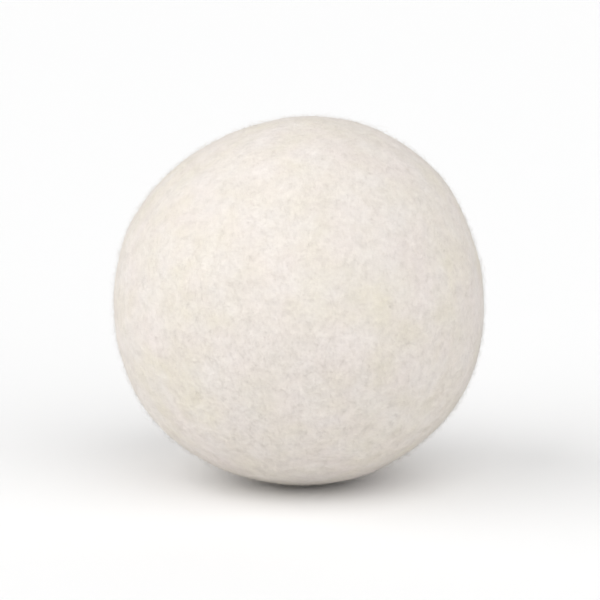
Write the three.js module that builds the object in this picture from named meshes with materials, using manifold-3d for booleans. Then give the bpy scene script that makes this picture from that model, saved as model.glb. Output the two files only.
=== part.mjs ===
// A wool dryer ball: a core of rolled batting, three layers of crossed batting strips, a skin of
// finer wool, and the wisp of wool that closes the skin. Felting binds them into one solid ball.
//
// Millimetres, +Z up. The ball stands on the plane z = 0, with the middle of its box on the Z axis.

import * as THREE from 'three';
import { ParametricGeometry } from 'three/addons/geometries/ParametricGeometry.js';
import { mergeVertices } from 'three/addons/utils/BufferGeometryUtils.js';
import Module from 'manifold-3d';

// ---------------------------------------------------------------- driving dimensions

const BALL_RADIUS = 35;
const REST_RADIUS = 5.3; // the flat that the ball presses into its underside
const CLOSING_RADIUS = 8; // the place underneath where the skin is closed
const SKIN_THICKNESS = 3.5;
const WRAP_THICKNESS = 5.55;
const LAYER_GAP = 0.5; // between layers, at the corners of their facets
const SEAM_GAP = 0.3; // between two pieces of one layer

const ROLL_PITCH = 3.3; // from one turn of the core to the next
const ROLL_GAP = 0.3; // between two turns of the core
const ROLL_EYE = 0.3; // radius left open at the middle of the core
const ROLL_STEPS_PER_TURN = 20;

// How wide a batting strip is at its waist: 1 makes its ends as wide as the strip that it crosses.
const STRIP_WAIST = 1;
// Draws the slices of a strip together where its seam runs most slanted, from 0 to 1.
const SLICE_EVENING = 0.5;

// A hand-felted ball is not quite a sphere. Each swell is a place where the outside stands out, or
// lies flat where the height is negative. turn is measured from +X round Z and lift from the
// horizon, both in degrees, and width is the angle over which the swell fades.
const SWELLS = [
  { name: 'flat beside the top', turn: 180, lift: 68, height: -1.1, width: 30 },
  { name: 'right shoulder', turn: 0, lift: 50, height: 0.5, width: 20 },
  { name: 'right flat', turn: 0, lift: 12, height: -0.7, width: 22 },
  { name: 'lower right bulge', turn: 0, lift: -35, height: 0.5, width: 26 },
  { name: 'lower left bulge', turn: 180, lift: -22, height: 0.6, width: 32 },
  { name: 'front bulge', turn: -95, lift: 18, height: 0.3, width: 34 },
  { name: 'back flat', turn: 105, lift: 20, height: -0.8, width: 30 },
  { name: 'back bulge', turn: 62, lift: -12, height: 0.5, width: 24 },
];
const SWELLS_START = 13; // degrees from straight down, below which the ball is round
const SWELLS_FULL = 45;

// ---------------------------------------------------------------- radii, from the outside inwards

const SKIN_INNER = BALL_RADIUS - SKIN_THICKNESS;
const OUTER_WRAP = SKIN_INNER - LAYER_GAP;
const MIDDLE_WRAP = OUTER_WRAP - WRAP_THICKNESS - LAYER_GAP;
const INNER_WRAP = MIDDLE_WRAP - WRAP_THICKNESS - LAYER_GAP;
const CORE_RADIUS = INNER_WRAP - WRAP_THICKNESS - LAYER_GAP;

const REST_ANGLE = Math.asin(REST_RADIUS / BALL_RADIUS);
const REST_DEPTH = BALL_RADIUS * Math.cos(REST_ANGLE); // from the ball's middle to the flat
const CLOSING_ANGLE = Math.asin(CLOSING_RADIUS / BALL_RADIUS);

const degrees = THREE.MathUtils.degToRad;

const wasm = await Module();
wasm.setup();

// ---------------------------------------------------------------- helpers

function wool(color, roughness) {
  return new THREE.MeshStandardMaterial({ color, roughness, metalness: 0 });
}

function piece(name, geometry, material) {
  const mesh = new THREE.Mesh(geometry, material);
  mesh.name = name;
  return mesh;
}

// Leaves only positions, with each shared corner stored once and no triangle without area.
function closedBody(geometry) {
  geometry.deleteAttribute('normal');
  geometry.deleteAttribute('uv');
  const merged = mergeVertices(geometry, 1e-4);
  const corners = merged.index.array;
  const kept = [];
  for (let i = 0; i < corners.length; i += 3) {
    const [a, b, c] = corners.slice(i, i + 3);
    if (a !== b && b !== c && c !== a) {
      kept.push(a, b, c);
    }
  }
  merged.setIndex(kept);
  merged.computeVertexNormals();
  return merged;
}

function toSolid(geometry) {
  const body = closedBody(geometry);
  const vertProperties = Float32Array.from(body.attributes.position.array);
  const triVerts = Uint32Array.from(body.index.array);
  return new wasm.Manifold(new wasm.Mesh({ numProp: 3, vertProperties, triVerts }));
}

function fromSolid(solid) {
  const mesh = solid.getMesh();
  const geometry = new THREE.BufferGeometry();
  geometry.setAttribute('position', new THREE.BufferAttribute(mesh.vertProperties, 3));
  geometry.setIndex(new THREE.BufferAttribute(mesh.triVerts, 1));
  geometry.computeVertexNormals();
  return geometry;
}

// Evenly spaced shares from 0 to 1.
function evenly(count) {
  return Array.from({ length: count + 1 }, (_, i) => i / count);
}

// A piece of a hollow ball, round the +Z axis. edge(phi) is the angle from +Z to its rim, and
// outside(direction) and inside(direction) are its two radii. The surface runs from the middle of
// the inside to the rim, across the rim, and back to the middle of the outside, at the shares of
// the edge angle that innerShares and outerShares list. evening moves the slices as above.
function shell({ edge, outside, inside, slices, outerShares, innerShares, evening = 0 }) {
  const rings = [
    ...innerShares.map((share) => ({ share, radius: inside })),
    ...outerShares.toReversed().map((share) => ({ share, radius: outside })),
  ];
  const lastRing = rings.length - 1;

  function place(u, v, target) {
    const ring = rings[Math.round(v * lastRing)];
    const evenPhi = (Math.round(u * slices) % slices) * ((2 * Math.PI) / slices);
    const phi = evenPhi + (evening / 4) * Math.sin(4 * evenPhi);
    const theta = ring.share * edge(phi);
    const flat = Math.sin(theta);
    target.set(flat * Math.cos(phi), flat * Math.sin(phi), Math.cos(theta));
    target.multiplyScalar(ring.radius(target));
  }

  return closedBody(new ParametricGeometry(place, slices, lastRing));
}

// ---------------------------------------------------------------- the core

// A strip of batting rolled up like a carpet, its axis along X, and rounded to a ball.
function coreRoll() {
  const halfStrip = (ROLL_PITCH - ROLL_GAP) / 2;
  const firstRadius = ROLL_EYE + halfStrip;
  const lastRadius = CORE_RADIUS - halfStrip;
  const turns = (lastRadius - firstRadius) / ROLL_PITCH;
  const steps = Math.ceil(turns * ROLL_STEPS_PER_TURN);

  function side(offset) {
    return evenly(steps).map((share) => {
      const angle = share * turns * 2 * Math.PI;
      const radius = firstRadius + share * (lastRadius - firstRadius) + offset;
      return new THREE.Vector2(radius * Math.cos(angle), radius * Math.sin(angle));
    });
  }

  const strip = new THREE.Shape([...side(halfStrip), ...side(-halfStrip).reverse()]);
  const rolled = new THREE.ExtrudeGeometry(strip, { depth: 2 * CORE_RADIUS, bevelEnabled: false });
  rolled.translate(0, 0, -CORE_RADIUS);
  const round = new THREE.SphereGeometry(CORE_RADIUS, 28, 14);
  const core = fromSolid(toSolid(rolled).intersect(toSolid(round)));
  return core.rotateY(Math.PI / 2);
}

// ---------------------------------------------------------------- the wraps

// The angle from the strip's middle to the line where it meets the crossing strip. It is longest
// along X and narrowest along Y, and turning it half round the diagonal gives the other strip.
function seamAngle(phi) {
  const along = 2 * Math.cos(2 * phi);
  return Math.acos(-along / (STRIP_WAIST + Math.hypot(STRIP_WAIST, along)));
}

// The same angle, drawn back from the seam by half of its gap, square to it, at a radius.
function stripEdge(phi, radius) {
  const small = 1e-4;
  const angle = seamAngle(phi);
  const slope = (seamAngle(phi + small) - seamAngle(phi - small)) / (2 * small);
  return angle - (SEAM_GAP / 2 / radius) * Math.hypot(1, slope / Math.sin(angle));
}

function strip(outerRadius, slices, ringCount) {
  const innerRadius = outerRadius - WRAP_THICKNESS;
  return shell({
    edge: (phi) => stripEdge(phi, innerRadius),
    outside: () => outerRadius,
    inside: () => innerRadius,
    slices,
    outerShares: evenly(ringCount),
    innerShares: evenly(ringCount),
    evening: SLICE_EVENING,
  });
}

// Two alike strips, laid over the ball at right angles to each other.
function wrapLayer(name, outerRadius, slices, ringCount, colors) {
  const layer = new THREE.Group();
  const diagonal = new THREE.Vector3(1, 1, 0).normalize();
  const lengthwise = strip(outerRadius, slices, ringCount);
  const crosswise = strip(outerRadius, slices, ringCount);
  layer.add(piece(`${name}_lengthwise`, lengthwise, wool(colors[0], 0.95)));
  const crossed = piece(`${name}_crosswise`, crosswise, wool(colors[1], 0.95));
  crossed.quaternion.setFromAxisAngle(diagonal, Math.PI);
  layer.add(crossed);
  return layer;
}

// ---------------------------------------------------------------- the skin

const swellDirections = SWELLS.map((swell) => {
  const lift = degrees(swell.lift);
  const turn = degrees(swell.turn);
  const level = Math.cos(lift);
  return new THREE.Vector3(level * Math.cos(turn), level * Math.sin(turn), Math.sin(lift));
});

// The outside of the ball in a direction from its middle.
function ballRadius(direction) {
  const fromBelow = THREE.MathUtils.radToDeg(direction.angleTo(new THREE.Vector3(0, 0, -1)));
  const amount = THREE.MathUtils.smoothstep(fromBelow, SWELLS_START, SWELLS_FULL);
  let radius = BALL_RADIUS;
  SWELLS.forEach((swell, i) => {
    const away = direction.angleTo(swellDirections[i]) / degrees(swell.width);
    radius += amount * swell.height * Math.exp(-away * away);
  });
  return radius;
}

function fineSkin() {
  const edgeAngle = Math.PI - CLOSING_ANGLE - SEAM_GAP / 2 / SKIN_INNER;
  return shell({
    edge: () => edgeAngle,
    outside: ballRadius,
    inside: () => SKIN_INNER,
    slices: 48,
    outerShares: evenly(20),
    innerShares: evenly(12),
  });
}

// The plug of wool in the skin's opening, made pointing up and turned over. Its middle is the
// flat that the ball stands on.
function closingWisp() {
  const edgeAngle = CLOSING_ANGLE - SEAM_GAP / 2 / SKIN_INNER;
  const flatShare = REST_ANGLE / edgeAngle;
  const onFlat = Math.cos(REST_ANGLE) - 1e-9;
  return shell({
    edge: () => edgeAngle,
    outside: (direction) => (direction.z >= onFlat ? REST_DEPTH / direction.z : BALL_RADIUS),
    inside: () => SKIN_INNER,
    slices: 32,
    outerShares: [0, flatShare, (1 + flatShare) / 2, 1],
    innerShares: [0, 0.5, 1],
  });
}

// ---------------------------------------------------------------- the ball

const ball = new THREE.Group();

const core = piece('core_roll', coreRoll(), wool(0xd9cfbf, 1));
core.rotation.set(0, degrees(-20), degrees(35));
ball.add(core);

const innerWrap = wrapLayer('inner_wrap', INNER_WRAP, 24, 8, [0xded5c6, 0xdbd1c1]);
innerWrap.rotation.set(degrees(90), 0, degrees(20));
ball.add(innerWrap);

const middleWrap = wrapLayer('middle_wrap', MIDDLE_WRAP, 28, 9, [0xe3dbce, 0xdfd7c9]);
middleWrap.rotation.set(0, degrees(55), degrees(-40));
ball.add(middleWrap);

const outerWrap = wrapLayer('outer_wrap', OUTER_WRAP, 32, 10, [0xe8e1d6, 0xe5ddd1]);
outerWrap.rotation.set(degrees(25), degrees(-10), degrees(70));
ball.add(outerWrap);

const skin = piece('fine_skin', fineSkin(), wool(0xefe8e0, 0.9));
ball.add(skin);

const wisp = piece('closing_wisp', closingWisp(), wool(0xede5dc, 0.9));
wisp.rotation.x = Math.PI;
ball.add(wisp);

const middle = new THREE.Box3().setFromObject(skin).getCenter(new THREE.Vector3());
ball.position.set(-middle.x, -middle.y, REST_DEPTH);

export default ball;
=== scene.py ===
"""A felted wool dryer ball, in a plain white studio.

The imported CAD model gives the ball's form and the layers inside it. This script makes them as wool:
the felted skin with its grain, the fibres matted into its surface, the short nap that stands off
it, and the carded wool of the core and the wraps under the skin.
"""

import math
from types import SimpleNamespace

import bmesh
import bpy
import numpy as np
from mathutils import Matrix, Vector, noise
from mathutils.bvhtree import BVHTree


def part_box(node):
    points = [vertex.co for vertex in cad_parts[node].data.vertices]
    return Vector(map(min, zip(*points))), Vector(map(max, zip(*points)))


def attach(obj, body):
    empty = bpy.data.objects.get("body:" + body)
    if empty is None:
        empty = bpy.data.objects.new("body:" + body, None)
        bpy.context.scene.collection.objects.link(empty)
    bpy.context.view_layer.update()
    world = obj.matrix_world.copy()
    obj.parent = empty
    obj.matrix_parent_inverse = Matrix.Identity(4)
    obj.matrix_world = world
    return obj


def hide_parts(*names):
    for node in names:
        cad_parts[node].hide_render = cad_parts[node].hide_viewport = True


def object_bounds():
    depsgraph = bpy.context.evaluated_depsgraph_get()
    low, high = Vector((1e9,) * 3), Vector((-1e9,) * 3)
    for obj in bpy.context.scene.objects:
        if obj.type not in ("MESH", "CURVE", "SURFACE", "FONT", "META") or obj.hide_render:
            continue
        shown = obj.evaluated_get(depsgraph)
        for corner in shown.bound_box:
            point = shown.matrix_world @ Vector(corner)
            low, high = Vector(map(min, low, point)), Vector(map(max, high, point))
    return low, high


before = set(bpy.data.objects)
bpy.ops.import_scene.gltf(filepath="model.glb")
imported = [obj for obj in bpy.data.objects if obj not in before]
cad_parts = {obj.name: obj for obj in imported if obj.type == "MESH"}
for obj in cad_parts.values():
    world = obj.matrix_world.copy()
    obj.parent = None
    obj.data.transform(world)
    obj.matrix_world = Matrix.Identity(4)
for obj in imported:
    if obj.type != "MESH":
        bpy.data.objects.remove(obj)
cad_low, cad_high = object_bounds()

MM = 0.001  # one millimetre, in metres

# The ball, from the CAD parts.
SKIN_NODES = ("fine_skin", "closing_wisp")
LAYERS = ("inner_wrap", "middle_wrap", "outer_wrap")
STRIPS = ("lengthwise", "crosswise")
skin_low, skin_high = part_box("fine_skin")
wisp_low, wisp_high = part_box("closing_wisp")
outer_wraps = [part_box(f"outer_wrap_{strip}") for strip in STRIPS]
wraps_bottom = min(low.z for low, _ in outer_wraps)
wraps_top = max(high.z for _, high in outer_wraps)
BALL_RADIUS = (skin_high.x - skin_low.x) / 2
WRAPS_RADIUS = (wraps_top - wraps_bottom) / 2
MIDDLE = (wisp_low + wisp_high) / 2
MIDDLE.z = (wraps_bottom + wraps_top) / 2
CENTRE = np.array(MIDDLE)  # the same point, for sums with arrays of points

# The felted skin.
SKIN_STEPS = 120  # faces across each side of the cube that the skin's mesh is rounded from
LINING_STEPS = 40
LINING_GAP = 0.45 * MM  # from the wraps to the lining
SKIN_SMOOTHING = 30  # rounds that take the CAD facets out of the form
RAY_START = 1.4 * BALL_RADIUS  # how far out the rays that find the CAD form begin
RAY_LENGTH = 0.7 * BALL_RADIUS
FLOOR_CLEARANCE = 0.02 * MM

# The relief of the felt: (size of a lump, how far it stands out), from slow swells to the grain.
FELT_RELIEF = (
    (21 * MM, 0.44 * MM),
    (9 * MM, 0.25 * MM),
    (3.6 * MM, 0.080 * MM),
    (1.9 * MM, 0.058 * MM),
    (1.1 * MM, 0.040 * MM),
)

# The carded wool inside.
WELD_DISTANCE = 0.0001 * MM  # CAD corners closer than this are one point
LONGEST_EDGE = 1.15 * MM  # a longer edge is halved in each round of cutting
CUTTING_ROUNDS = 5
WOOL_SMOOTHING = 5  # rounds that turn the sharp rims of the CAD pieces into soft ones
WOOL_RELIEF = ((5 * MM, 0.12 * MM), (1.9 * MM, 0.05 * MM))  # as the relief of the felt
LIE_STRETCH = 3.0  # how much longer the lumps of carded wool are along its fibres than across
LIE = "lie"  # the attribute that says where each point lies along and across the fibres

# The loose wool. Where a fibre has a value of its own, it is drawn between the two given here.
FIBRE_CLEARANCE = 0.08 * MM  # of the floor
TUBE_SIDES = 3
STEP_TURNING = 1 / 3  # how far a path turns by chance at each point, as a share of its turning
MATTED = SimpleNamespace(
    pieces=3,
    seed=10,  # the number of the piece is added to it
    count=5400,  # fibres in a piece
    points=8,  # along a fibre
    turning=1.1,  # how far a fibre typically swings round in all, in radians
    radii=(0.008 * MM, 0.016 * MM),
    lengths=(1.8 * MM, 5.0 * MM),
    arch=(0.2, 1.1),  # how far the middle of a fibre rises, in its own radii
    waver=0.008 * MM,  # how far its points stray up and down
)
NAP = SimpleNamespace(
    pieces=3,
    seed=30,
    count=16000,
    points=4,
    turning=0.6,
    radii=(0.008 * MM, 0.015 * MM),
    heights=(0.10 * MM, 0.31 * MM, 1.3 * MM),  # the least, the mean of what is added, the most
    reach=(0.8, 2.4),  # length along the ball, as a multiple of the height
    curl=(0.0, 0.5),  # how far it leans over
    root_depth=0.03 * MM,  # how deep in the felt it starts
)
STRAY = SimpleNamespace(
    seed=50,
    count=1500,
    points=7,
    turning=1.2,
    radii=(0.010 * MM, 0.017 * MM),
    heights=(0.5 * MM, 0.4 * MM, 2.2 * MM),
    reach=(1.0, 3.0),
    curl=(0.3, 1.0),  # how far its end bends back
    root_depth=0.04 * MM,
)

# Colours, linear. The tones of each wool are cream, warm, rose and pale.
WHITE = (1.0, 1.0, 1.0, 1.0)
FELT_TONES = (
    (0.742, 0.694, 0.638),
    (0.756, 0.704, 0.588),
    (0.766, 0.703, 0.664),
    (0.786, 0.745, 0.712),
)
# Painted light: the fibres' tones are lighter than the felt's, so that the loose fibres read as lit
# over the felt despite the shade on their sides.
FIBRE_TONES = (
    (0.800, 0.750, 0.692),
    (0.798, 0.742, 0.660),
    (0.812, 0.742, 0.696),
    (0.830, 0.790, 0.745),
)
BATTING_TONES = (
    (0.66, 0.595, 0.515),
    (0.67, 0.590, 0.475),
    (0.68, 0.605, 0.530),
    (0.72, 0.665, 0.595),
)
COARSE_TONES = (
    (0.56, 0.480, 0.380),
    (0.54, 0.445, 0.330),
    (0.60, 0.500, 0.400),
    (0.66, 0.585, 0.485),
)

# How warm, rose and pale are laid over cream: the size of their patches, as a multiple of the
# size given for the wool, and their least and their greatest share. A share under 0 is none.
TONE_LAYERS = ((1.6, 0.0, 0.8), (1.1, -0.2, 1.0), (0.7, -0.2, 0.6))

# The fine texture of the wool: strands, spots and pits add up to a height, which gives its bump and
# its colour's shade: partly random tone, partly painted shade, darker in the pits and low places and
# lighter on the strands.
CLOUD_NOISE = (0.3, 0.7)  # nearly all of the noise that makes a cloud lies between these
STRAND_WIDTH = 0.5 * MM  # of a lump of the noise that guides the strands
STRAND_LENGTH = 2.4 * MM
STRANDS_IN_LUMP = 7
STRAND_EDGE = 0.22  # where a strand begins: midway between two is 0, and its crest is STRAND_CREST
STRAND_CREST = 0.5
SWAY_SIZE = 3.0 * MM  # of the lumps of noise that push the strands to and fro
SWAY_DISTANCE = 2.6 * MM
CROSSING_STRANDS = (  # how each layer of strands is turned, and its weight
    ((0.4, 0.9, 0.2), 0.8),
    ((1.7, 0.3, 1.1), 0.9),
    ((2.6, 1.4, 0.5), 1.0),
    ((0.9, 2.3, 2.0), 0.9),
)
CARDED_STRANDS = (((0.0, 0.0, 0.0), 1.0), ((0.0, 0.6, 0.25), 0.9), ((0.0, 1.3, -0.35), 0.8))
SPOTS = ((0.8 * MM, 0.35), (2.4 * MM, 0.35))  # the size and the weight of each layer of spots
PIT_SIZE = 1.3 * MM
PIT_DEPTH = 0.5
PIT_NOISE = (0.30, 0.48)  # the noise at the bottom of a pit and at its brim
HEIGHTS = (0.1, 1.5 + PIT_DEPTH)  # between these two, the painted shade lightens the colour as the height grows
PAINTED_SHADE = (0.87, 1.045)  # painted shade: how light the wool's colour is made at those two heights
ROUGHNESS_SPREAD = 0.05

# The studio.
CAMERA_ELEVATION = math.radians(10)
CAMERA_LENS = 150.0
CAMERA_CLIP = (0.01, 20)
BALL_SHARE_OF_FRAME = 0.62
FLOOR_RADIUS = 4.0
FLOOR_CORNERS = 96
FLOOR_COLOUR = (0.90, 0.90, 0.90, 1)
ROOM_LIGHT = 0.41
BACKDROP_LIGHT = 1.0
LAMP_WIDTH = math.radians(75)
LAMPS = (  # name, azimuth and elevation in degrees, strength
    ("left_softbox", -70, 30, 1.84),
    ("front_softbox", 35, 43, 1.64),
    ("back_softbox", 165, 20, 0.40),
)


# ------------------------------------------------------------------ meshes


def new_piece(name, points, *face_arrays):
    """A piece of the object, from its points and arrays of its faces."""
    sizes = np.concatenate([np.full(len(faces), faces.shape[1]) for faces in face_arrays])
    corners = np.concatenate([faces.ravel() for faces in face_arrays])
    mesh = bpy.data.meshes.new(name)
    mesh.vertices.add(len(points))
    mesh.vertices.foreach_set("co", np.ravel(points))
    mesh.loops.add(len(corners))
    mesh.loops.foreach_set("vertex_index", corners)
    mesh.polygons.add(len(sizes))
    mesh.polygons.foreach_set("loop_start", np.cumsum(sizes) - sizes)
    mesh.update(calc_edges=True)
    mesh.validate()
    mesh.shade_smooth()
    piece = bpy.data.objects.new(name, mesh)
    bpy.context.scene.collection.objects.link(piece)
    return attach(piece, "root")


def unit(vectors):
    """Each vector made one long."""
    return vectors / np.linalg.norm(vectors, axis=-1, keepdims=True)


def cube_sphere(steps):
    """Directions spread evenly over a sphere, the faces between them, and the grid of directions
    on each side of the cube that they come from."""
    across = np.tan(np.linspace(-1, 1, steps + 1) * math.pi / 4)
    u, v = np.meshgrid(across, across, indexing="ij")
    one = np.ones_like(u)
    sides = ((one, u, v), (v, one, u), (u, v, one), (-one, v, u), (u, -one, v), (v, u, -one))
    points = np.concatenate([np.stack(side, -1).reshape(-1, 3) for side in sides])
    corner = np.arange((steps + 1) ** 2).reshape(steps + 1, steps + 1)
    square = np.stack([corner[:-1, :-1], corner[1:, :-1], corner[1:, 1:], corner[:-1, 1:]], -1)
    faces = np.concatenate([square.reshape(-1, 4) + side * corner.size for side in range(6)])

    # Two sides share the points on the edge between them.
    millionths = np.round(points * 1e6).astype(np.int64)
    _, first, shared = np.unique(millionths, axis=0, return_index=True, return_inverse=True)
    shared = shared.reshape(-1)
    return unit(points[first]), shared[faces], shared.reshape(6, steps + 1, steps + 1)


def between(values, grid, directions):
    """Values at the points of a cube sphere, read off in any directions."""
    steps = grid.shape[1] - 1
    axis = np.abs(directions).argmax(-1)
    largest = np.take_along_axis(directions, axis[..., None], -1)
    x, y, z = np.moveaxis(directions / np.abs(largest), -1, 0)
    side = axis + 3 * (largest[..., 0] < 0)
    u = np.choose(side, (y, z, x, z, x, y))
    v = np.choose(side, (z, x, y, y, z, x))

    # Where each direction leaves the cube, counted in faces across its side.
    place = (np.arctan(np.stack([u, v])) * 4 / math.pi + 1) / 2 * steps
    cell = np.clip(np.floor(place).astype(int), 0, steps - 1)
    (i, j), (s, t) = cell, place - cell
    near = values[grid[side, i, j]] * (1 - s) + values[grid[side, i + 1, j]] * s
    far = values[grid[side, i, j + 1]] * (1 - s) + values[grid[side, i + 1, j + 1]] * s
    return near * (1 - t) + far * t


def spread(values, faces, rounds):
    """Values at the points of a mesh, each moved halfway to the mean of its neighbours, over and
    over. A value that is missing takes the mean of the neighbours that have one."""
    sides = faces.shape[1]
    start = np.concatenate([faces[:, k] for k in range(sides)])
    end = np.concatenate([faces[:, (k + 1) % sides] for k in range(sides)])

    def of_neighbours(numbers):
        """The sum of the numbers at each point's neighbours, once for each edge of a face."""
        after = np.bincount(start, numbers[end], len(numbers))
        before = np.bincount(end, numbers[start], len(numbers))
        return after + before

    for _ in range(rounds):
        known = np.isfinite(values)
        filled = np.where(known, values, 0)
        total, count = of_neighbours(filled), of_neighbours(known)
        mean = np.where(count > 0, total / np.maximum(count, 1), np.nan)
        values = np.where(known & (count > 0), (filled + mean) / 2, np.where(known, values, mean))
    return values


def relief(points, layers):
    """The height of a lumpy surface at each point. A layer is the size and depth of its lumps."""
    height = np.zeros(len(points))
    for size, depth in layers:
        offset = Vector((size / MM, 0, -size / MM))
        height += [depth * noise.noise(Vector(point) / size + offset) for point in points]
    return height


# ------------------------------------------------------------------ the felted skin


def cad_radii(nodes, directions):
    """How far the outside of some CAD nodes lies from the ball's middle in each direction. It is
    missing in a direction where there is only a gap between them."""
    points, faces = [], []
    for node in nodes:
        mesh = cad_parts[node].data
        start = len(points)
        points += [vertex.co.copy() for vertex in mesh.vertices]
        faces += [[start + i for i in face.vertices] for face in mesh.polygons]
    tree = BVHTree.FromPolygons(points, faces)
    found = np.full(len(directions), np.nan)
    for i, direction in enumerate(directions):
        outward = Vector(direction)
        hit = tree.ray_cast(MIDDLE + outward * RAY_START, -outward, RAY_LENGTH)[0]
        if hit is not None:
            found[i] = (hit - MIDDLE).length
    return found


skin_directions, skin_faces, skin_grid = cube_sphere(SKIN_STEPS)
skin_form = spread(cad_radii(SKIN_NODES, skin_directions), skin_faces, SKIN_SMOOTHING)
skin_form += relief(skin_directions * BALL_RADIUS, FELT_RELIEF)


def make_skin():
    """The outside of the ball as felt, with the lining that lies on the wraps."""
    outer = CENTRE + skin_directions * skin_form[:, None]
    outer[:, 2] = np.maximum(outer[:, 2], cad_low.z + FLOOR_CLEARANCE)
    lining_directions, lining_faces, _ = cube_sphere(LINING_STEPS)
    lining = CENTRE + lining_directions * (WRAPS_RADIUS + LINING_GAP)
    points = np.concatenate([outer, lining])
    inward_faces = lining_faces[:, ::-1] + len(outer)
    skin = new_piece("felt_skin", points, skin_faces, inward_faces)
    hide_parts(*SKIN_NODES)
    return skin


# ------------------------------------------------------------------ the carded wool inside


def refined(node, keep_round):
    """The points and triangles of a CAD node, cut finely by halving its long edges. With
    keep_round, the distance from the ball's middle runs evenly from corner to corner, so that
    the halves of an edge follow the ball instead of cutting straight across."""
    mesh = bmesh.new()
    mesh.from_mesh(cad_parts[node].data)
    bmesh.ops.remove_doubles(mesh, verts=mesh.verts, dist=WELD_DISTANCE)
    radius = mesh.verts.layers.float.new("radius")
    for vertex in mesh.verts:
        vertex[radius] = (vertex.co - MIDDLE).length
    for _ in range(CUTTING_ROUNDS):
        long_edges = [edge for edge in mesh.edges if edge.calc_length() > LONGEST_EDGE]
        bmesh.ops.subdivide_edges(mesh, edges=long_edges, cuts=1)
        cut = [face for face in mesh.faces if len(face.verts) > 3]
        bmesh.ops.triangulate(mesh, faces=cut, quad_method="SHORT_EDGE")
    points = np.array([vertex.co for vertex in mesh.verts])
    if keep_round:
        radii = np.array([[vertex[radius]] for vertex in mesh.verts])
        points = CENTRE + unit(points - CENTRE) * radii
    mesh.verts.index_update()
    faces = np.array([[vertex.index for vertex in face.verts] for face in mesh.faces])
    mesh.free()
    return points, faces


def face_normals(points, faces):
    """The normal of each triangle, as long as twice its area."""
    a, b, c = (points[faces[:, corner]] for corner in range(3))
    return np.cross(b - a, c - a)


def point_normals(points, faces):
    """The normal at each point: the mean of those of its triangles, weighted by their areas."""
    normals = np.repeat(face_normals(points, faces), 3, axis=0)
    corner = faces.ravel()
    return unit(np.stack([np.bincount(corner, normals[:, k], len(points)) for k in range(3)], 1))


def lie_of_strip(points):
    """Where each point of a wrapped strip lies: across the strip, along it, and outward. top is
    the direction of the strip's middle, and length the way in which it reaches furthest."""
    outward = points - CENTRE
    radii = np.linalg.norm(outward, axis=1)
    directions = unit(outward)
    top = unit(directions.mean(0))
    level = directions - np.outer(directions @ top, top)
    length = np.linalg.svd(level, full_matrices=False)[2][0]
    width = np.cross(top, length)
    along = np.arctan2(directions @ length, directions @ top)
    across = np.arcsin(np.clip(directions @ width, -1, 1))
    return np.stack([across * radii.max(), along * radii.max(), radii], 1)


def lie_of_roll(points, faces):
    """Where each point of the roll lies: along its axis, round it, and outward. Most of the
    strip's surface faces away from the axis, which gives the axis's direction."""
    normals = face_normals(points, faces)
    axis, side, other = np.linalg.svd(normals, full_matrices=False)[2][::-1]
    outward = points - CENTRE
    radii = np.hypot(outward @ side, outward @ other)
    around = np.arctan2(outward @ side, outward @ other)
    return np.stack([outward @ axis, around * radii.max(), radii], 1)


def carded_wool(node, rolled=False):
    """A CAD wool piece as carded wool: soft rims, and lumps drawn out along its fibres. The core
    is rolled up, and the wraps are strips laid round it."""
    points, faces = refined(node, keep_round=not rolled)
    for axis in range(3):
        points[:, axis] = spread(points[:, axis], faces, WOOL_SMOOTHING)
    lie = lie_of_roll(points, faces) if rolled else lie_of_strip(points)
    lumps = relief(lie / (1, LIE_STRETCH, 1), WOOL_RELIEF)
    points += point_normals(points, faces) * lumps[:, None]
    piece = new_piece(f"{node}_wool", points, faces)
    kept = piece.data.attributes.new(LIE, "FLOAT_VECTOR", "POINT")
    kept.data.foreach_set("vector", lie.ravel())
    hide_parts(node)
    return piece


# ------------------------------------------------------------------ loose wool


def wander(rng, kind, lengths):
    """The paths of one kind of fibre over a unit sphere: (fibres, points, 3) directions. lengths
    are the angles that they span."""
    steps = kind.points - 1
    at = unit(rng.normal(size=(kind.count, 3)))
    heading = unit(np.cross(at, rng.normal(size=(kind.count, 3))))
    step = (lengths / steps)[:, None]
    swing = rng.normal(0, kind.turning, (kind.count, 1)) / steps
    path = [at]
    for _ in range(steps):
        at, heading = (
            at * np.cos(step) + heading * np.sin(step),
            heading * np.cos(step) - at * np.sin(step),
        )
        turn = swing + rng.normal(0, kind.turning * STEP_TURNING, (kind.count, 1))
        heading = heading * np.cos(turn) + np.cross(at, heading) * np.sin(turn)
        path.append(at)
    return np.stack(path, 1)


def over_skin(directions, lift):
    """Points a given height over the felted skin."""
    radius = between(skin_form, skin_grid, directions) + lift
    return CENTRE + directions * radius[..., None]


def tube_faces(points):
    """The triangles at the tips of one fibre and the squares along its sides. Its corners are a
    ring at each point of its path but the first and the last, and then those two."""
    first_tip = TUBE_SIDES * (points - 2)
    last_tip = first_tip + 1
    last_ring = first_tip - TUBE_SIDES
    tips, sides = [], []
    for side in range(TUBE_SIDES):
        after = (side + 1) % TUBE_SIDES
        tips.append((first_tip, after, side))
        tips.append((last_tip, last_ring + side, last_ring + after))
        for low in range(0, last_ring, TUBE_SIDES):
            high = low + TUBE_SIDES
            sides.append((low + side, low + after, high + after, high + side))
    return np.array(tips), np.array(sides)


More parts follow.
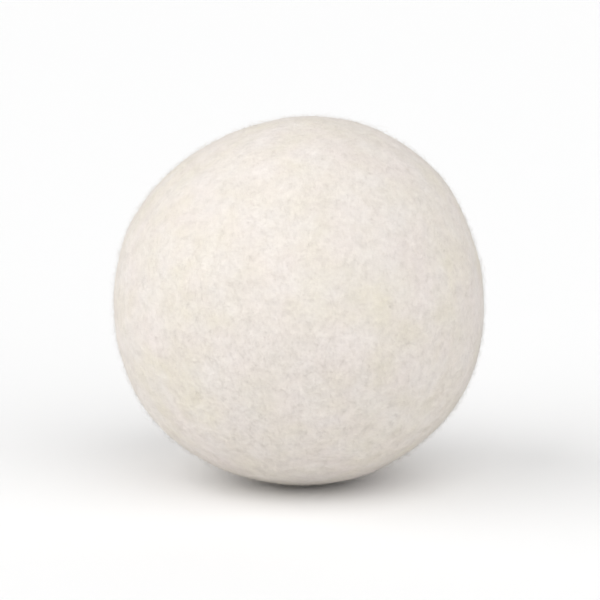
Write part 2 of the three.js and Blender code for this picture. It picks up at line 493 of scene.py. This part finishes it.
def fibre_piece(name, paths, radii):
    """Fibres as thin tubes that taper to a point at both ends, with the normals of the ball under
    them. Those that would reach what the ball stands on are left out."""
    clear = paths[:, :, 2].min(axis=1) > cad_low.z + FIBRE_CLEARANCE
    paths, radii = paths[clear], radii[clear]
    count, points, _ = paths.shape
    along = unit(np.gradient(paths, axis=1))
    across = unit(np.cross(along, paths - CENTRE))
    upward = np.cross(across, along)
    taper = np.sqrt(np.sin(math.pi * np.linspace(0, 1, points)))
    radius = (radii[:, None] * taper)[..., None]
    angles = [2 * math.pi * side / TUBE_SIDES for side in range(TUBE_SIDES)]
    tube = [paths + radius * (math.cos(a) * upward + math.sin(a) * across) for a in angles]
    rings = np.stack(tube, 2)[:, 1:-1].reshape(count, -1, 3)
    vertices = np.concatenate([rings, paths[:, :1], paths[:, -1:]], 1)

    tips, sides = tube_faces(points)
    starts = (np.arange(count) * vertices.shape[1])[:, None, None]
    tips = (starts + tips).reshape(-1, 3)
    sides = (starts + sides).reshape(-1, 4)
    vertices = vertices.reshape(-1, 3)
    piece = new_piece(name, vertices, tips, sides)
    piece.data.normals_split_custom_set_from_vertices(unit(vertices - CENTRE))
    return piece


def matted_fibres(name, kind, seed):
    """Long fibres lying in the face of the felt, dipping in and out of it."""
    rng = np.random.default_rng(seed)
    lengths = rng.uniform(*kind.lengths, kind.count) / BALL_RADIUS
    directions = wander(rng, kind, lengths)
    radii = rng.uniform(*kind.radii, kind.count)
    arch = np.sin(math.pi * np.linspace(0, 1, kind.points))
    lift = rng.uniform(*kind.arch, (kind.count, 1)) * radii[:, None] * arch
    lift += rng.normal(0, kind.waver, (kind.count, kind.points))
    return fibre_piece(name, over_skin(directions, lift), radii)


def standing_fibres(name, kind, seed, rise):
    """Fibres that start in the felt and stand off it. rise gives the height along one of them."""
    rng = np.random.default_rng(seed)
    least, added, most = kind.heights
    height = np.minimum(least + rng.exponential(added, kind.count), most)
    lengths = height * rng.uniform(*kind.reach, kind.count) / BALL_RADIUS
    directions = wander(rng, kind, lengths)
    curl = rng.uniform(*kind.curl, (kind.count, 1))
    share = np.linspace(0, 1, kind.points)
    lift = height[:, None] * rise(share, curl) - kind.root_depth
    radii = rng.uniform(*kind.radii, kind.count)
    return fibre_piece(name, over_skin(directions, lift), radii)


def leaning(share, curl):
    """The height along a fibre of the nap, which leans over more and more towards its end."""
    return (share - curl * share**2) / (1 - curl / 2)


def looping(share, curl):
    """The height along a fibre that has worked loose, whose end bends back towards the felt."""
    return share - curl * share**3


# ------------------------------------------------------------------ materials


def add(tree, kind, settings=None, **inputs):
    """A shader node. An input is named with _ for a space, and takes a value or another socket."""
    made = tree.nodes.new(kind)
    for name, value in (settings or {}).items():
        setattr(made, name, value)
    for name, value in inputs.items():
        connect(tree, made.inputs[name.replace("_", " ")], value)
    return made


def connect(tree, socket, value):
    """Gives an input its value, or a link to another node's output."""
    if isinstance(value, bpy.types.NodeSocket):
        tree.links.new(value, socket)
    else:
        socket.default_value = value


def mixed(tree, share, first, second):
    """Two colours mixed by a share."""
    made = add(tree, "ShaderNodeMix", {"data_type": "RGBA"})
    connect(tree, made.inputs[0], share)
    for socket, value in ((made.inputs[6], first), (made.inputs[7], second)):
        connect(tree, socket, value if isinstance(value, bpy.types.NodeSocket) else (*value, 1))
    return made.outputs[2]


def ranged(tree, value, low, high, to_low, to_high):
    """A value whose range from low to high becomes the range from to_low to to_high."""
    made = add(
        tree,
        "ShaderNodeMapRange",
        Value=value,
        From_Min=low,
        From_Max=high,
        To_Min=to_low,
        To_Max=to_high,
    )
    return made.outputs["Result"]


def math_node(tree, operation, *values):
    """The result of an operation on values or on other nodes' outputs."""
    made = add(tree, "ShaderNodeMath", {"operation": operation})
    for socket, value in zip(made.inputs, values):
        connect(tree, socket, value)
    return made.outputs[0]


def cloud(tree, place, size, low=0.0, high=1.0):
    """A noise of a given lump size, stretched so that it runs from low to high."""
    made = add(
        tree, "ShaderNodeTexNoise", Vector=place, Scale=1 / size, Detail=2.0, Roughness=0.55
    )
    return ranged(tree, made.outputs["Fac"], *CLOUD_NOISE, low, high)


def swayed(tree, place):
    """The place, pushed to and fro by a slow noise, so that straight patterns wander."""
    push = add(tree, "ShaderNodeTexNoise", Vector=place, Scale=1 / SWAY_SIZE, Detail=1.0)
    moved = add(tree, "ShaderNodeVectorMath", {"operation": "MULTIPLY_ADD"})
    distance = (SWAY_DISTANCE,) * 3
    for socket, value in zip(moved.inputs, (push.outputs["Color"], distance, place)):
        connect(tree, socket, value)
    return moved.outputs[0]


def strands(tree, place, turn):
    """Many fine, raised, nearly parallel lines, as fibres that lie side by side: from 0 between them
    to 1 on them. Through the height they are painted lighter, as lit fibres, and the gaps between
    them darker, as painted shade."""
    mapped = add(tree, "ShaderNodeMapping", Vector=place, Rotation=turn)
    mapped.inputs["Scale"].default_value = (1 / STRAND_WIDTH, 1 / STRAND_LENGTH, 1 / STRAND_WIDTH)
    guide = add(tree, "ShaderNodeTexNoise", Vector=mapped.outputs[0], Scale=1.0, Detail=1.0)
    lines = math_node(tree, "MULTIPLY", guide.outputs["Fac"], STRANDS_IN_LUMP)
    wave = math_node(tree, "PINGPONG", lines, STRAND_CREST)
    return ranged(tree, wave, STRAND_EDGE, STRAND_CREST, 0.0, 1.0)


def wool_colour(tree, place, tones, patch):
    """Patches of slightly different cream."""
    colour = tones[0]
    for tone, (size, least, most) in zip(tones[1:], TONE_LAYERS):
        share = cloud(tree, place, size * patch, least, most)
        colour = mixed(tree, share, colour, tone)
    return colour


def wool_height(tree, place, lie, strand_layers):
    """The height of the fine texture: strands, with spots and pits among them."""
    wandering = swayed(tree, lie)
    height = 0.0
    for turn, weight in strand_layers:
        layer = math_node(tree, "MULTIPLY", strands(tree, wandering, turn), weight)
        height = math_node(tree, "MAXIMUM", height, layer)
    for size, weight in SPOTS:
        spots = math_node(tree, "MULTIPLY", cloud(tree, place, size), weight)
        height = math_node(tree, "ADD", height, spots)
    pits = add(tree, "ShaderNodeTexNoise", Vector=place, Scale=1 / PIT_SIZE, Detail=1.0)
    filled = ranged(tree, pits.outputs["Fac"], *PIT_NOISE, 0.0, PIT_DEPTH)
    return math_node(tree, "ADD", height, filled)


def wool_material(name, tones, strand_layers, patch, roughness, bump_depth=0, carded=False):
    """Wool in patches of slightly different cream, with strands that cross each other in felt and
    run along the fibres' lie in carded wool. patch is the size of the patches."""
    material = bpy.data.materials.new(name)
    material.use_nodes = True
    tree = material.node_tree
    tree.nodes.clear()
    place = add(tree, "ShaderNodeTexCoord").outputs["Object"]
    colour = wool_colour(tree, place, tones, patch)
    lie = place
    if carded:
        lie = add(tree, "ShaderNodeAttribute", {"attribute_name": LIE}).outputs["Vector"]
    height = wool_height(tree, place, lie, strand_layers)
    # Painted shade: the colour is made darker in the pits and low places of the texture and lighter
    # on its strands, on top of its random tone.
    painted_shade = ranged(tree, height, *HEIGHTS, *PAINTED_SHADE)
    colour_with_painted_shade = add(tree, "ShaderNodeVectorMath", {"operation": "SCALE"}, Scale=painted_shade)
    connect(tree, colour_with_painted_shade.inputs[0], colour)

    rough = cloud(
        tree, place, patch / 2, roughness - ROUGHNESS_SPREAD, roughness + ROUGHNESS_SPREAD
    )
    shader = add(
        tree,
        "ShaderNodeBsdfPrincipled",
        Base_Color=colour_with_painted_shade.outputs[0],
        Roughness=rough,
        Specular_IOR_Level=0.2,
        Sheen_Weight=0.05,
        Sheen_Roughness=0.5,
        Sheen_Tint=(1.0, 0.97, 0.93, 1.0),
    )
    if bump_depth:
        bump = add(tree, "ShaderNodeBump", Height=height, Strength=1.0, Distance=bump_depth)
        connect(tree, shader.inputs["Normal"], bump.outputs[0])
    add(tree, "ShaderNodeOutputMaterial", Surface=shader.outputs[0])
    return material


def paint(piece, material):
    """Gives a piece its material."""
    piece.data.materials.append(material)


# ------------------------------------------------------------------ the studio


def make_floor():
    """A wide white floor, which the ball stands on."""
    rim = [
        (FLOOR_RADIUS * math.cos(a), FLOOR_RADIUS * math.sin(a), cad_low.z)
        for a in np.linspace(0, 2 * math.pi, FLOOR_CORNERS, endpoint=False)
    ]
    mesh = bpy.data.meshes.new("floor")
    mesh.from_pydata(rim, [], [tuple(range(len(rim)))])
    floor = bpy.data.objects.new("floor", mesh)
    bpy.context.scene.collection.objects.link(floor)
    material = bpy.data.materials.new("white_paper")
    material.use_nodes = True
    shader = material.node_tree.nodes["Principled BSDF"]
    shader.inputs["Base Color"].default_value = FLOOR_COLOUR
    shader.inputs["Roughness"].default_value = 0.9
    shader.inputs["Specular IOR Level"].default_value = 0.1
    mesh.materials.append(material)


def towards(azimuth, elevation):
    """A direction from the ball. The camera stands at azimuth 0, and azimuth grows to the right."""
    level = math.cos(elevation)
    return Vector((level * math.sin(azimuth), -level * math.cos(azimuth), math.sin(elevation)))


def make_room():
    """An even, dim room, and a white backdrop that only the camera sees."""
    world = bpy.data.worlds.new("white_studio")
    bpy.context.scene.world = world
    world.use_nodes = True
    tree = world.node_tree
    tree.nodes.clear()
    lighting = add(tree, "ShaderNodeBackground", Color=WHITE, Strength=ROOM_LIGHT)
    backdrop = add(tree, "ShaderNodeBackground", Color=WHITE, Strength=BACKDROP_LIGHT)
    seen = add(tree, "ShaderNodeLightPath").outputs["Is Camera Ray"]
    room = add(tree, "ShaderNodeMixShader", Fac=seen)
    connect(tree, room.inputs[1], lighting.outputs[0])
    connect(tree, room.inputs[2], backdrop.outputs[0])
    add(tree, "ShaderNodeOutputWorld", Surface=room.outputs[0])


def make_lamp(name, azimuth, elevation, strength):
    """A very large, soft lamp. It is a sun, so how far off it stands makes no difference."""
    light = bpy.data.lights.new(name, "SUN")
    light.angle = LAMP_WIDTH
    light.energy = strength
    lamp = bpy.data.objects.new(name, light)
    bpy.context.scene.collection.objects.link(lamp)
    direction = towards(math.radians(azimuth), math.radians(elevation))
    lamp.location = MIDDLE + direction
    lamp.rotation_mode = "QUATERNION"
    lamp.rotation_quaternion = direction.to_track_quat("Z", "Y")


def make_camera():
    """A long lens at the photograph's viewing angle, with the ball in the middle of the frame."""
    data = bpy.data.cameras.new("camera")
    data.lens = CAMERA_LENS
    data.clip_start, data.clip_end = CAMERA_CLIP
    camera = bpy.data.objects.new("camera", data)
    bpy.context.scene.collection.objects.link(camera)
    half_angle = math.atan(BALL_SHARE_OF_FRAME * data.sensor_width / 2 / data.lens)
    direction = towards(0, CAMERA_ELEVATION)
    camera.location = MIDDLE + direction * (BALL_RADIUS / math.sin(half_angle))
    camera.rotation_mode = "QUATERNION"
    camera.rotation_quaternion = direction.to_track_quat("Z", "Y")
    bpy.context.scene.camera = camera


# ------------------------------------------------------------------ the whole

felt = wool_material(
    "felt", FELT_TONES, CROSSING_STRANDS, patch=9 * MM, roughness=0.9, bump_depth=0.02 * MM
)
fibre = wool_material("fibre", FIBRE_TONES, CROSSING_STRANDS, patch=3 * MM, roughness=0.85)
batting = wool_material(
    "batting",
    BATTING_TONES,
    CARDED_STRANDS,
    patch=6 * MM,
    roughness=0.92,
    bump_depth=0.04 * MM,
    carded=True,
)
coarse = wool_material(
    "coarse_wool",
    COARSE_TONES,
    CARDED_STRANDS,
    patch=5 * MM,
    roughness=0.94,
    bump_depth=0.05 * MM,
    carded=True,
)

paint(make_skin(), felt)
paint(carded_wool("core_roll", rolled=True), coarse)
for layer in LAYERS:
    for strip in STRIPS:
        paint(carded_wool(f"{layer}_{strip}"), batting)
for number in range(1, MATTED.pieces + 1):
    matted = matted_fibres(f"matted_fibres_{number}", MATTED, MATTED.seed + number)
    paint(matted, fibre)
for number in range(1, NAP.pieces + 1):
    nap = standing_fibres(f"nap_{number}", NAP, NAP.seed + number, leaning)
    paint(nap, fibre)
paint(standing_fibres("stray_fibres", STRAY, STRAY.seed, looping), fibre)

make_floor()
make_room()
for lamp in LAMPS:
    make_lamp(*lamp)
make_camera()
bpy.context.scene.view_settings.view_transform = "Standard"
